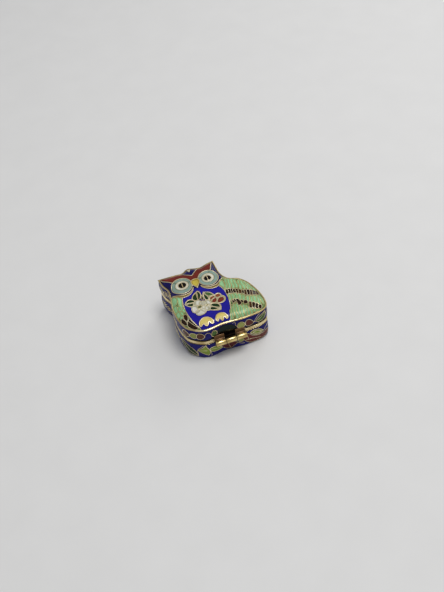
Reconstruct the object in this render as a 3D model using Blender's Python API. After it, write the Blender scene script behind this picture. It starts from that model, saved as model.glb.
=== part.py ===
"""Owl-shaped cloisonne enamel box with a hinged lid, lying on its base.

The owl is seen from above: +Y points to its ears, +X to its large wing, +Z up.
The origin is on the table, under the middle of the outline. Metres.
"""

import math

import bmesh
import bpy
import numpy as np
from mathutils import Matrix, Vector
from mathutils.geometry import interpolate_bezier

# Overall size
WIDTH = 0.046
DEPTH = 0.043
BASE_HEIGHT = 0.0108
BAND_HEIGHT = 0.0020
LID_WALL_HEIGHT = 0.0079
DOME_RISE = 0.0022

# Walls
WALL = 0.0013
FLOOR = 0.0014
BELLY = 0.0003
FOOT_RADIUS = 0.0009
BEAD_RADIUS = 0.00045
BEAD_LIFT = 0.00039
GAP = 0.0003

# The dome climbs fast beside the bead and is nearly flat in the middle
DOME_STEEPNESS = 13.0
DOME_DIP = 0.00009
CEILING_LIFT = 0.0003

# Hinge
HINGE_LENGTH = 0.0162
HINGE_X = 0.0010
HINGE_DROP = 0.0021
KNUCKLE_RADIUS = 0.00145
PIN_RADIUS = 0.00045
PIN_OVERHANG = 0.00015
PLATE = 0.0005
LID_PLATE_HEIGHT = 0.0019

# Owl outline, as shares of width and depth, anticlockwise from the left ear tip
BODY = [
    (-0.502, 0.465),
    (-0.483, 0.349),
    (-0.443, 0.228),
    (-0.480, -0.079),
    (-0.433, -0.347),
    (-0.333, -0.456),
    (-0.225, -0.500),
    (-0.033, -0.481),
    (0.240, -0.495),
    (0.463, -0.449),
    (0.502, -0.307),
    (0.441, -0.044),
    (0.352, 0.095),
    (0.233, 0.163),
    (0.180, 0.265),
    (0.169, 0.384),
    (0.165, 0.498),
]
CROWN = [
    (0.165, 0.498),
    (0.083, 0.482),
    (0.003, 0.456),
    (-0.045, 0.462),
    (-0.093, 0.477),
    (-0.137, 0.491),
    (-0.170, 0.482),
    (-0.204, 0.457),
    (-0.235, 0.448),
    (-0.300, 0.455),
    (-0.502, 0.465),
]
# Every point of the outline can be seen from here, so the dome's rings shrink towards it
DOME_CENTRE = (-0.087, 0.047)

BODY_POINTS = 70
CROWN_POINTS = 26
KNOT_STEPS = 24
ROUND_SIDES = 24
SHARP_EDGE = 35

# Where the rings lie: angles round the foot and the bead, shares of the wall's height and of the dome's reach
FOOT_ANGLES = (0, 30, 60)
BEAD_ANGLES = (-30, 10, 50, 90)
WALL_SHARES = (0, 0.25, 0.5, 0.75, 1)
DOME_SHARES = (1, 0.965, 0.92, 0.85, 0.72, 0.45)
CEILING_SHARES = (0.45, 0.75, 0.9, 1)

# Levels
BAND_BOTTOM = BASE_HEIGHT + GAP
BAND_TOP = BAND_BOTTOM + BAND_HEIGHT
LID_BOTTOM = BAND_TOP + GAP
LID_SHOULDER = LID_BOTTOM + LID_WALL_HEIGHT
BEAD_CENTRE = LID_SHOULDER + BEAD_LIFT
DOME_EDGE = BEAD_CENTRE + BEAD_RADIUS - DOME_DIP
DOME_TOP = DOME_EDGE + DOME_RISE

ENAMEL_BLUE = (0.024, 0.016, 0.28)
GILT = (0.80, 0.58, 0.24)
COPPER = (0.36, 0.16, 0.08)


def remove_everything():
    """Empties the scene."""
    for item in list(bpy.data.objects):
        bpy.data.objects.remove(item, do_unlink=True)


def new_collection(name):
    """A collection of that name in the scene."""
    made = bpy.data.collections.new(name)
    bpy.context.scene.collection.children.link(made)
    return made


def new_material(name, colour, roughness, metallic):
    """A plain surface with one colour."""
    made = bpy.data.materials.new(name)
    made.use_nodes = True
    shader = made.node_tree.nodes["Principled BSDF"]
    shader.inputs["Base Color"].default_value = (*colour, 1.0)
    shader.inputs["Roughness"].default_value = roughness
    shader.inputs["Metallic"].default_value = metallic
    return made


def smooth_path(knots):
    """Points along a smooth path through the knots, whose two ends are corners."""
    knots = [Vector(knot) for knot in knots]
    last = len(knots) - 1
    aims = [(knots[min(i + 1, last)] - knots[max(i - 1, 0)]).normalized() for i in range(len(knots))]
    path = []
    for i in range(last):
        reach = (knots[i + 1] - knots[i]).length / 3
        path += interpolate_bezier(
            knots[i], knots[i] + aims[i] * reach, knots[i + 1] - aims[i + 1] * reach, knots[i + 1], KNOT_STEPS
        )[:-1]
    return np.array([point[:2] for point in path + [knots[-1]]])


def fitted_paths():
    """The two halves of the outline, between the ear tips, that fill width and depth exactly."""
    paths = [smooth_path([(x * WIDTH, y * DEPTH, 0) for x, y in knots]) for knots in (BODY, CROWN)]
    together = np.concatenate(paths)
    low, high = together.min(0), together.max(0)
    scale = np.array((WIDTH, DEPTH)) / (high - low)
    return [(path - (low + high) / 2) * scale for path in paths]


def moved_inward(path, inset):
    """The path shifted to its left, which is into the owl."""
    run = np.gradient(path, axis=0)
    run /= np.linalg.norm(run, axis=1)[:, None]
    return path + inset * np.stack([-run[:, 1], run[:, 0]], 1)


def crossing(first, second):
    """Where the end of the first path crosses the start of the second, as two places counted in steps."""
    start, step = first[:-1, None], np.diff(first, axis=0)[:, None]
    other, stride = second[None, :-1], np.diff(second, axis=0)[None]
    across = step[..., 0] * stride[..., 1] - step[..., 1] * stride[..., 0]
    across = np.where(abs(across) < 1e-18, 1e-18, across)
    between = other - start
    along = (between[..., 0] * stride[..., 1] - between[..., 1] * stride[..., 0]) / across
    beside = (between[..., 0] * step[..., 1] - between[..., 1] * step[..., 0]) / across
    hits = np.argwhere((along >= 0) & (along <= 1) & (beside >= 0) & (beside <= 1))
    i, j = max(hits, key=lambda hit: hit[0] - hit[1])
    return i + along[i, j], j + beside[i, j]


def evenly_spaced(path, low, high, count):
    """Count + 1 points at equal spacing along the path, from place low to place high, in steps."""
    places = np.arange(len(path))
    inner = places[(places > low) & (places < high)]
    ends = np.concatenate([[low], inner, [high]])
    part = np.stack([np.interp(ends, places, path[:, axis]) for axis in (0, 1)], 1)
    length = np.concatenate([[0], np.cumsum(np.linalg.norm(np.diff(part, axis=0), axis=1))])
    wanted = np.linspace(0, length[-1], count + 1)
    return np.stack([np.interp(wanted, length, part[:, axis]) for axis in (0, 1)], 1)


def owl_outline(inset):
    """The owl's outline, drawn in by the inset, as a closed ring of points."""
    body, crown = fitted_paths()
    body_low, body_high, crown_low, crown_high = 0, len(body) - 1, 0, len(crown) - 1
    if inset > 0:
        body, crown = moved_inward(body, inset), moved_inward(crown, inset)
        body_high, crown_low = crossing(body, crown)
        crown_high, body_low = crossing(crown, body)
    return np.concatenate(
        [
            evenly_spaced(body, body_low, body_high, BODY_POINTS)[:-1],
            evenly_spaced(crown, crown_low, crown_high, CROWN_POINTS)[:-1],
        ]
    )


def ring_at(inset, height):
    """The outline, drawn in by the inset, at one height."""
    return [(x, y, height) for x, y in owl_outline(inset)]


def wall_rings(bottom, top):
    """Rings up a wall that swells by BELLY towards half height."""
    rings = []
    for share in WALL_SHARES:
        inset = BELLY * (2 * share - 1) ** 2
        rings.append(ring_at(inset, bottom + (top - bottom) * share))
    return rings


def dome_rings(edge_inset, edge_height, rise, shares):
    """Rings over a dome that starts at the inset outline and shrinks towards the dome's centre."""
    centre = np.array(DOME_CENTRE) * (WIDTH, DEPTH)
    edge = owl_outline(edge_inset)
    rings = []
    for share in shares:
        height = edge_height + rise * (1 - math.exp(-DOME_STEEPNESS * (1 - share)))
        rings.append([(x, y, height) for x, y in centre + (edge - centre) * share])
    return rings


def skinned(name, rings, material, collection, tips=None):
    """A solid through the rings, in order. It closes on itself, or in two tips or flat ends."""
    mesh = bmesh.new()
    rows = [[mesh.verts.new(point) for point in ring] for ring in rings]
    count = len(rows[0])
    pairs = list(zip(rows, rows[1:]))
    if tips == "closed":
        pairs.append((rows[-1], rows[0]))
    elif tips == "flat":
        mesh.faces.new(rows[0][::-1])
        mesh.faces.new(rows[-1])
    else:
        for row, tip in zip((rows[0][::-1], rows[-1]), tips):
            vert = mesh.verts.new(tip)
            for i in range(count):
                mesh.faces.new((row[i], row[(i + 1) % count], vert))
    for lower, upper in pairs:
        for i in range(count):
            j = (i + 1) % count
            mesh.faces.new((lower[i], lower[j], upper[j], upper[i]))
    bmesh.ops.recalc_face_normals(mesh, faces=mesh.faces)
    return finished(name, mesh, material, collection)


def finished(name, mesh, material, collection):
    """An object from the bmesh, smooth over its curves and sharp at its edges."""
    data = bpy.data.meshes.new(name)
    mesh.to_mesh(data)
    mesh.free()
    data.shade_smooth()
    data.set_sharp_from_angle(angle=math.radians(SHARP_EDGE))
    if material:
        data.materials.append(material)
    made = bpy.data.objects.new(name, data)
    collection.objects.link(made)
    return made


def box(name, low, high, material, collection):
    """A block between two corners."""
    low, high = Vector(low), Vector(high)
    mesh = bmesh.new()
    bmesh.ops.create_cube(mesh, size=1.0)
    bmesh.ops.scale(mesh, vec=high - low, verts=mesh.verts)
    made = finished(name, mesh, material, collection)
    made.location = (low + high) / 2
    return made


def rod(name, radius, middle, length, material, collection):
    """A cylinder along X about its middle."""
    mesh = bmesh.new()
    bmesh.ops.create_cone(
        mesh, cap_ends=True, segments=ROUND_SIDES, radius1=radius, radius2=radius, depth=length
    )
    made = finished(name, mesh, material, collection)
    made.location = middle
    made.rotation_euler = (0, math.pi / 2, 0)
    return made


def combine(target, other, operation):
    """Joins the other shape to the target, or cuts it away."""
    other.hide_render = True
    other.display_type = "WIRE"
    change = target.modifiers.new(other.name, "BOOLEAN")
    change.operation = operation
    change.solver = "EXACT"
    change.object = other


def hinge_front():
    """How far towards -Y the outline reaches beside the hinge."""
    ring = owl_outline(0)
    beside = (abs(ring[:, 0] - HINGE_X) < HINGE_LENGTH / 2) & (ring[:, 1] < 0)
    return ring[beside, 1].min()


def knuckle(name, place, axis, plate_low, plate_high, web_low, material, parts, cutters):
    """A rolled knuckle with its plate. Place is 0 to 2 along the hinge, from the left."""
    width = (HINGE_LENGTH - 2 * GAP) / 3
    left = axis.x - HINGE_LENGTH / 2 + place * (width + GAP)
    middle = Vector((left + width / 2, axis.y, axis.z))
    back = hinge_front() + PLATE
    made = rod(name, KNUCKLE_RADIUS, middle, width, material, parts)
    low, high = (left, back - PLATE, plate_low), (left + width, back, plate_high)
    plate = box(name + "_plate", low, high, material, cutters)
    low, high = (left, axis.y, web_low), (left + width, back - PLATE / 2, web_low + PLATE)
    web = box(name + "_web", low, high, material, cutters)
    bore = rod(name + "_bore", PIN_RADIUS + GAP, middle, 2 * width, material, cutters)
    combine(made, plate, "UNION")
    combine(made, web, "UNION")
    combine(made, bore, "DIFFERENCE")
    return made


def base_shell(material, parts):
    """The lower half: a cup with a rounded foot, a wall that swells a little and a flat floor."""
    foot = []
    for angle in FOOT_ANGLES:
        turn = math.radians(angle)
        foot.append(
            ring_at(BELLY + FOOT_RADIUS * (1 - math.sin(turn)), FOOT_RADIUS * (1 - math.cos(turn)))
        )
    wall = wall_rings(FOOT_RADIUS, BASE_HEIGHT)
    inside = [ring_at(BELLY + WALL, BASE_HEIGHT), ring_at(BELLY + WALL, FLOOR)]
    return skinned("base_shell", foot + wall + inside, material, parts, tips="flat")


def base_band(recess, material, parts):
    """The plain gilt band round the mouth of the base."""
    rings = [
        ring_at(BELLY, BAND_BOTTOM),
        ring_at(BELLY, BAND_TOP),
        ring_at(BELLY + WALL, BAND_TOP),
        ring_at(BELLY + WALL, BAND_BOTTOM),
    ]
    made = skinned("base_band", rings, material, parts, tips="closed")
    combine(made, recess, "DIFFERENCE")
    return made


def lid_shell(recess, material, parts):
    """The upper half: from the hollow's ceiling down to its mouth, then up the wall and over the dome."""
    bead = []
    for angle in BEAD_ANGLES:
        turn = math.radians(angle)
        bead.append(
            ring_at(BEAD_RADIUS * (1 - math.cos(turn)), BEAD_CENTRE + BEAD_RADIUS * math.sin(turn))
        )
    ceiling_edge = DOME_EDGE - WALL + CEILING_LIFT
    ceiling = dome_rings(BELLY + WALL, ceiling_edge, DOME_TOP - WALL - ceiling_edge, CEILING_SHARES)
    mouth = [ring_at(BELLY + WALL, LID_BOTTOM)]
    wall = wall_rings(LID_BOTTOM, LID_SHOULDER)
    dome = dome_rings(2 * BEAD_RADIUS, DOME_EDGE, DOME_RISE, DOME_SHARES)
    x, y = DOME_CENTRE[0] * WIDTH, DOME_CENTRE[1] * DEPTH
    tips = ((x, y, DOME_TOP - WALL), (x, y, DOME_TOP))
    made = skinned("lid_shell", ceiling + mouth + wall + bead + dome, material, parts, tips)
    combine(made, recess, "DIFFERENCE")
    return made


def build():
    """Makes the box: base, band, lid, three knuckles and the pin."""
    remove_everything()
    parts = new_collection("owl_box")
    cutters = new_collection("owl_box_cutters")
    enamel = new_material("enamel", ENAMEL_BLUE, 0.12, 0.0)
    gilt = new_material("gilt", GILT, 0.25, 1.0)
    copper = new_material("copper", COPPER, 0.4, 1.0)

    # The knuckles stand just clear of the wall, a little below the lid's edge
    front = hinge_front()
    axis = Vector((HINGE_X, front - GAP - KNUCKLE_RADIUS, LID_BOTTOM - HINGE_DROP))
    plate_top = LID_BOTTOM + LID_PLATE_HEIGHT
    half = HINGE_LENGTH / 2 + GAP
    recess = box(
        "hinge_recess",
        (axis.x - half, axis.y, BAND_BOTTOM - GAP),
        (axis.x + half, front + PLATE + GAP, plate_top + GAP),
        None,
        cutters,
    )

    base_shell(enamel, parts)
    base_band(recess, gilt, parts)
    lid = lid_shell(recess, enamel, parts)

    # The lid's plates rise from the top of their knuckles, and the base's lies against the band
    lid_web = axis.z + KNUCKLE_RADIUS - PLATE
    base_web = axis.z - PLATE / 2
    left = knuckle("hinge_knuckle_left", 0, axis, lid_web, plate_top, lid_web, copper, parts, cutters)
    knuckle("hinge_knuckle_middle", 1, axis, BAND_BOTTOM, BAND_TOP, base_web, gilt, parts, cutters)
    right = knuckle("hinge_knuckle_right", 2, axis, lid_web, plate_top, lid_web, copper, parts, cutters)
    rod("hinge_pin", PIN_RADIUS, axis, HINGE_LENGTH + 2 * PIN_OVERHANG, gilt, parts)

    turning = bpy.data.objects.new("lid_hinge_axis", None)
    turning.location = axis
    parts.objects.link(turning)
    for piece in (lid, left, right):
        piece.parent = turning
        piece.matrix_parent_inverse = Matrix.Translation(-axis)


build()
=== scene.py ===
"""An owl-shaped trinket box of cloisonne enamel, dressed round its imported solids. Layouts are in mm."""

import math

import bpy
import numpy as np
from mathutils import Matrix, Vector
from mathutils.geometry import delaunay_2d_cdt


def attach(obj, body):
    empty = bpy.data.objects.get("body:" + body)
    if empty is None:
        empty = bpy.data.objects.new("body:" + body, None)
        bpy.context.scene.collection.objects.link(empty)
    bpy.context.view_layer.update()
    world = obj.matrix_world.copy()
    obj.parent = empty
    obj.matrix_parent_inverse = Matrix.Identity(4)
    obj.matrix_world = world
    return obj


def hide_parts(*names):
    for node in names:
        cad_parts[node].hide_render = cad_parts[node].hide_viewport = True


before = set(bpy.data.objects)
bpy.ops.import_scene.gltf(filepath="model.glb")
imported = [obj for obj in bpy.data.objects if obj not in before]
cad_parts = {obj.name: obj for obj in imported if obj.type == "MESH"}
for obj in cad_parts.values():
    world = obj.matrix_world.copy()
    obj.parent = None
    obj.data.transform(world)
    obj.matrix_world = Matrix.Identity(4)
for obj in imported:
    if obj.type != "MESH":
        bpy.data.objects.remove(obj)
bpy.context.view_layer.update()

# ---- Camera: looks down at the owl's front from beyond its feet, a little from the left, and leans a little

MM = 0.001
AZIMUTH, ELEVATION, ROLL = -13.6, 48.9, -7.75
CAMERA_DISTANCE = 415.6
CAMERA_TARGET = (6.20, 5.84, 10.9)
FOCAL_PIXELS, LONG_SIDE_PIXELS = 800, 592


def camera_axes(azimuth, elevation, roll):
    """Right, up and back of a camera at that azimuth and elevation, turned about its own line of sight."""
    a, e, r = (math.radians(angle) for angle in (azimuth, elevation, roll))
    back = Vector((math.sin(a) * math.cos(e), -math.cos(a) * math.cos(e), math.sin(e)))
    level = (-back).cross(Vector((0, 0, 1))).normalized()
    upright = level.cross(-back)
    right = level * math.cos(r) + upright * math.sin(r)
    return right, back.cross(right), back


def placing(point, right, up, back):
    """The matrix that puts a camera or a light at a point in mm with those axes."""
    return Matrix.Translation(point * MM) @ Matrix((right, up, back)).transposed().to_4x4()


right, up, back = camera_axes(AZIMUTH, ELEVATION, ROLL)
camera = bpy.data.objects.new("camera", bpy.data.cameras.new("camera"))
bpy.context.scene.collection.objects.link(camera)
camera.data.sensor_width = 36
camera.data.lens = FOCAL_PIXELS / LONG_SIDE_PIXELS * camera.data.sensor_width
camera.data.clip_start, camera.data.clip_end = 20 * MM, 20000 * MM
camera.matrix_world = placing(Vector(CAMERA_TARGET) + back * CAMERA_DISTANCE, right, up, back)
bpy.context.scene.camera = camera

# ---- Studio: a plain pale table top under soft light from the right, and a dim even surround


def linear(code):
    """An sRGB hex colour as linear red, green, blue and alpha."""
    shares = [int(code[i : i + 2], 16) / 255 for i in (1, 3, 5)]
    return (*[c / 12.92 if c <= 0.04045 else ((c + 0.055) / 1.055) ** 2.4 for c in shares], 1.0)


def feed(node, inputs):
    """Gives each input of a node its plain value, or a link from the output socket that feeds it."""
    for key, value in inputs.items():
        if isinstance(value, bpy.types.NodeSocket):
            node.id_data.links.new(value, node.inputs[key])
        else:
            node.inputs[key].default_value = value


def add_node(tree, kind, output, inputs=(), **settings):
    """A shader node with its settings and inputs. Gives back the output socket that is asked for."""
    made = tree.nodes.new("ShaderNode" + kind)
    for key, value in settings.items():
        setattr(made, key, value)
    feed(made, dict(inputs))
    return made.outputs[output]


def new_material(name):
    """A material with its node tree and its shader."""
    made = bpy.data.materials.new(name)
    made.use_nodes = True
    return made, made.node_tree, made.node_tree.nodes["Principled BSDF"]


def linked_object(name, points, faces, materials, face_slots=None):
    """An object from points in mm and a list of the corners of each face, shaded smooth."""
    data = bpy.data.meshes.new(name)
    data.from_pydata((np.asarray(points) * MM).tolist(), [], faces)
    data.shade_smooth()
    for material in materials:
        data.materials.append(material)
    if face_slots is not None:
        data.polygons.foreach_set("material_index", np.asarray(face_slots, dtype=np.int32))
    made = bpy.data.objects.new(name, data)
    bpy.context.scene.collection.objects.link(made)
    return made


def table_top():
    """Satin white board: even colour with a breath of unevenness 20 mm across."""
    made, tree, shader = new_material("satin_white_board")
    place = add_node(tree, "TexCoord", "Object")
    cloud = add_node(tree, "TexNoise", "Fac", {"Vector": place, "Scale": 50, "Detail": 3})
    tone = add_node(tree, "Mix", 2, {0: cloud, 6: linear("#DFDEDC"), 7: linear("#E5E4E2")}, data_type="RGBA")
    feed(shader, {"Base Color": tone, "Roughness": 0.6, "Specular IOR Level": 0.25})
    return made


FLOOR_REACH = 1500
corners = [(x * FLOOR_REACH, y * FLOOR_REACH, 0) for x, y in ((-1, -1), (1, -1), (1, 1), (-1, 1))]
floor = linked_object("table_top", corners, [(0, 1, 2, 3)], [table_top()])

SURROUND = 0.4
world = bpy.data.worlds.new("soft_surround")
world.use_nodes = True
feed(world.node_tree.nodes["Background"], {"Color": linear("#F4F6FA"), "Strength": SURROUND})
bpy.context.scene.world = world
bpy.context.scene.view_settings.view_transform = "Standard"

# Each light: name, direction it comes from as azimuth and elevation, distance and side in mm, watts
LIGHTS = [
    ("lamp_above", 60, 78, 1100, 460, 5.6),
    ("window_right", 132, 32, 1000, 420, 1.6),
]
for name, azimuth, elevation, distance, side, watts in LIGHTS:
    right, up, back = camera_axes(azimuth, elevation, 0)
    light = bpy.data.objects.new(name, bpy.data.lights.new(name, "AREA"))
    light.data.size = side * MM
    light.data.energy = watts
    bpy.context.scene.collection.objects.link(light)
    light.matrix_world = placing(back * distance, right, up, back)

# ---- Lid top: copper dome with cloisons of flat gilt wire soldered on edge, filled with enamel, fired and
# ground back until wire and enamel are level. The enamel sinks a hair between the wires.

WIDTH, DEPTH = 46.0, 43.0
BEAD_RADIUS = 0.45
LID_BOTTOM, LID_SHOULDER = 13.4, 21.3
DOME_EDGE, DOME_RISE, DOME_STEEPNESS = 22.05, 2.2, 13.0

# Owl outline, as shares of width and depth, anticlockwise from the left ear tip
BODY = [
    (-0.502, 0.465), (-0.483, 0.349), (-0.443, 0.228), (-0.480, -0.079), (-0.433, -0.347), (-0.333, -0.456),
    (-0.225, -0.500), (-0.033, -0.481), (0.240, -0.495), (0.463, -0.449), (0.502, -0.307), (0.441, -0.044),
    (0.352, 0.095), (0.233, 0.163), (0.180, 0.265), (0.169, 0.384), (0.165, 0.498),
]
CROWN = [
    (0.165, 0.498), (0.083, 0.482), (0.003, 0.456), (-0.045, 0.462), (-0.093, 0.477), (-0.137, 0.491),
    (-0.170, 0.482), (-0.204, 0.457), (-0.235, 0.448), (-0.300, 0.455), (-0.502, 0.465),
]
DOME_CENTRE = np.array((-0.087 * WIDTH, 0.047 * DEPTH))
BODY_POINTS, CROWN_POINTS = 380, 100
KNOT_STEPS = 24


def unit(vectors):
    """Each row made one long."""
    return vectors / np.maximum(np.linalg.norm(vectors, axis=1), 1e-9)[:, None]


def lengths_along(path):
    """The length of a path from its start to each of its points."""
    return np.concatenate([[0], np.cumsum(np.linalg.norm(np.diff(path, axis=0), axis=1))])


def points_at(wanted, places, path):
    """Points at the wanted places, straight between the path's own points, whose places are given."""
    return np.stack([np.interp(wanted, places, path[:, axis]) for axis in range(path.shape[1])], 1)


def smooth_path(knots, steps=KNOT_STEPS):
    """Cubic pieces through the knots. Each leaves along its neighbours' chord, for a third of its own."""
    knots = np.asarray(knots, dtype=float)
    around = np.concatenate([knots[:1], knots, knots[-1:]])
    aims = unit(around[2:] - around[:-2])
    reach = np.linalg.norm(np.diff(knots, axis=0), axis=1)[:, None] / 3
    t = (np.arange(steps) / steps)[None, :, None]
    a, d = knots[:-1, None], knots[1:, None]
    b, c = a + (aims[:-1] * reach)[:, None], d - (aims[1:] * reach)[:, None]
    path = (1 - t) ** 3 * a + 3 * (1 - t) ** 2 * t * b + 3 * (1 - t) * t**2 * c + t**3 * d
    return np.concatenate([path.reshape(-1, 2), knots[-1:]])


def fitted_paths():
    """Body and crown paths between the ear tips, stretched to fill width and depth exactly."""
    paths = [smooth_path(np.array(knots) * (WIDTH, DEPTH)) for knots in (BODY, CROWN)]
    together = np.concatenate(paths)
    low, high = together.min(0), together.max(0)
    return [(path - (low + high) / 2) * (WIDTH, DEPTH) / (high - low) for path in paths]


def directions(path, ring=False):
    """The unit direction of a path, or of a closed ring, at each of its points."""
    return unit(np.roll(path, -1, axis=0) - np.roll(path, 1, axis=0) if ring else np.gradient(path, axis=0))


def moved_inward(path, inset, ring=False):
    """The path shifted square to itself, to its left, by the inset."""
    run = directions(path, ring)
    return path + inset * np.stack([-run[:, 1], run[:, 0]], 1)


def crossing(first, second):
    """Where the first path's end crosses the second's start, as two places counted in steps."""
    step, stride = np.diff(first, axis=0)[:, None], np.diff(second, axis=0)[None]
    across = step[..., 0] * stride[..., 1] - step[..., 1] * stride[..., 0]
    across = np.where(abs(across) < 1e-12, 1e-12, across)
    between = second[None, :-1] - first[:-1, None]
    along = (between[..., 0] * stride[..., 1] - between[..., 1] * stride[..., 0]) / across
    beside = (between[..., 0] * step[..., 1] - between[..., 1] * step[..., 0]) / across
    hits = np.argwhere((along >= 0) & (along <= 1) & (beside >= 0) & (beside <= 1))
    i, j = max(hits, key=lambda hit: hit[0] - hit[1])
    return i + along[i, j], j + beside[i, j]


def evenly_spaced(path, low, high, count):
    """Count + 1 points at equal spacing along the path, from place low to place high, in steps."""
    places = np.arange(len(path))
    ends = np.concatenate([[low], places[(places > low) & (places < high)], [high]])
    part = points_at(ends, places, path)
    length = lengths_along(part)
    return points_at(np.linspace(0, length[-1], count + 1), length, part)


def owl_ring(inset):
    """The outline drawn in by the inset, as a closed ring of points, both ear tips kept sharp."""
    body, crown = fitted_paths()
    body_low, body_high, crown_low, crown_high = 0, len(body) - 1, 0, len(crown) - 1
    if inset > 0:
        body, crown = moved_inward(body, inset), moved_inward(crown, inset)
        body_high, crown_low = crossing(body, crown)
        crown_high, body_low = crossing(crown, body)
    body = evenly_spaced(body, body_low, body_high, BODY_POINTS)
    crown = evenly_spaced(crown, crown_low, crown_high, CROWN_POINTS)
    return np.concatenate([body[:-1], crown[:-1]])


dome_ring = owl_ring(2 * BEAD_RADIUS)
dome_rays = dome_ring - DOME_CENTRE
dome_angles = np.arctan2(dome_rays[:, 1], dome_rays[:, 0])
dome_order = np.argsort(dome_angles)
dome_angles, dome_reach = dome_angles[dome_order], np.linalg.norm(dome_rays, axis=1)[dome_order]


def dome_share(points):
    """How far each point lies from the dome's centre, as a share of the way to its edge."""
    rays = points - DOME_CENTRE
    angles = np.arctan2(rays[:, 1], rays[:, 0])
    return np.linalg.norm(rays, axis=1) / np.interp(angles, dome_angles, dome_reach, period=2 * np.pi)


def on_dome(points):
    """Plan points lifted to the dome: edge + rise x (1 - exp(-steepness x (1 - share)))."""
    share = np.minimum(dome_share(points), 1)
    height = DOME_EDGE + DOME_RISE * (1 - np.exp(-DOME_STEEPNESS * (1 - share)))
    return np.column_stack([points, height])


PATH_STEP = 0.22


def evenly(path, step, closed):
    """The path in even steps of about that length. A closed one doesn't repeat its first point."""
    if closed:
        path = np.concatenate([path, path[:1]])
    length = lengths_along(path)
    count = max(int(round(length[-1] / step)), 3)
    return points_at(np.linspace(0, length[-1], count + 1)[: count if closed else None], length, path)


def closed_path(knots):
    """A closed line through the knots, smooth except at corners, which are written twice or end in 0."""
    knots = np.array([knot[:2] for knot in knots for _ in range(len(knot) - 1)], dtype=float)
    doubled = np.flatnonzero(np.all(knots == np.roll(knots, -1, axis=0), axis=1))
    if len(doubled) == 0:
        path = smooth_path(np.concatenate([knots[-2:], knots, knots[:3]]))
        path = path[2 * KNOT_STEPS : (len(knots) + 2) * KNOT_STEPS]
    else:
        knots = np.roll(knots, -(doubled[0] + 1), axis=0)
        cuts = np.flatnonzero(np.all(knots[:-1] == knots[1:], axis=1)) + 1
        path = np.concatenate([smooth_path(part)[:-1] for part in np.split(knots, cuts) if len(part) > 1])
    return evenly(path, PATH_STEP, closed=True)


def squared_circle(turn, power):
    """Cosine and sine of the turn with their sizes raised to 2 / power: |x|^power + |y|^power = 1."""
    wave = np.stack([np.cos(turn), np.sin(turn)])
    return np.sign(wave) * abs(wave) ** (2 / power)


def oval(x, y, width, height, tilt=0.0, power=2.0):
    """A closed line |x/a|^power + |y/b|^power = 1 about a point, its top leaned to the left by the tilt."""
    across, along = squared_circle(np.linspace(0, 2 * np.pi, 72, endpoint=False), power)
    across, along = across * width / 2, along * height / 2
    c, s = math.cos(math.radians(tilt)), math.sin(math.radians(tilt))
    line = np.column_stack([x + across * c - along * s, y + across * s + along * c])
    return evenly(line, PATH_STEP, closed=True)


def drawn(cells):
    """Enamel cells with their outlines: a tuple holds the numbers of an oval, a list the knots of a line."""
    return [
        (enamel, oval(*shape) if isinstance(shape, tuple) else closed_path(shape)) for enamel, shape in cells
    ]


def inside(points, outline):
    """Which points lie inside the closed outline, by counting how often a ray to the right crosses it."""
    found = np.zeros(len(points), dtype=bool)
    low, high = outline.min(0), outline.max(0)
    near = np.flatnonzero(np.all((points >= low) & (points <= high), axis=1))
    x, y = points[near].T
    crossed = np.zeros(len(near), dtype=bool)
    for (ax, ay), (bx, by) in zip(outline, np.roll(outline, -1, axis=0)):
        if ay != by:
            crossed ^= ((ay > y) != (by > y)) & (x < ax + (y - ay) * (bx - ax) / (by - ay))
    found[near] = crossed
    return found


def nearest(points, others):
    """The distance from each point to the nearest of the others, in blocks of rows."""
    gaps = []
    for block in np.array_split(points, max(len(points) // 2000, 1)):
        square = (block**2).sum(1)[:, None] + (others**2).sum(1)[None] - 2 * block @ others.T
        gaps.append(np.sqrt(np.maximum(square.min(1), 0)))
    return np.concatenate(gaps)


def surface_normals(place, points, step=0.03):
    """Unit normals of a placed layout: the cross product of its slopes along the two layout axes."""
    across = place(points + (step, 0)) - place(points - (step, 0))
    along = place(points + (0, step)) - place(points - (0, step))
    return unit(np.cross(across, along))


SINK, SINK_REACH = 0.05, 0.5
CLEAR_OF_LINES, SLIVER = 0.45, 1e-7


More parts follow.
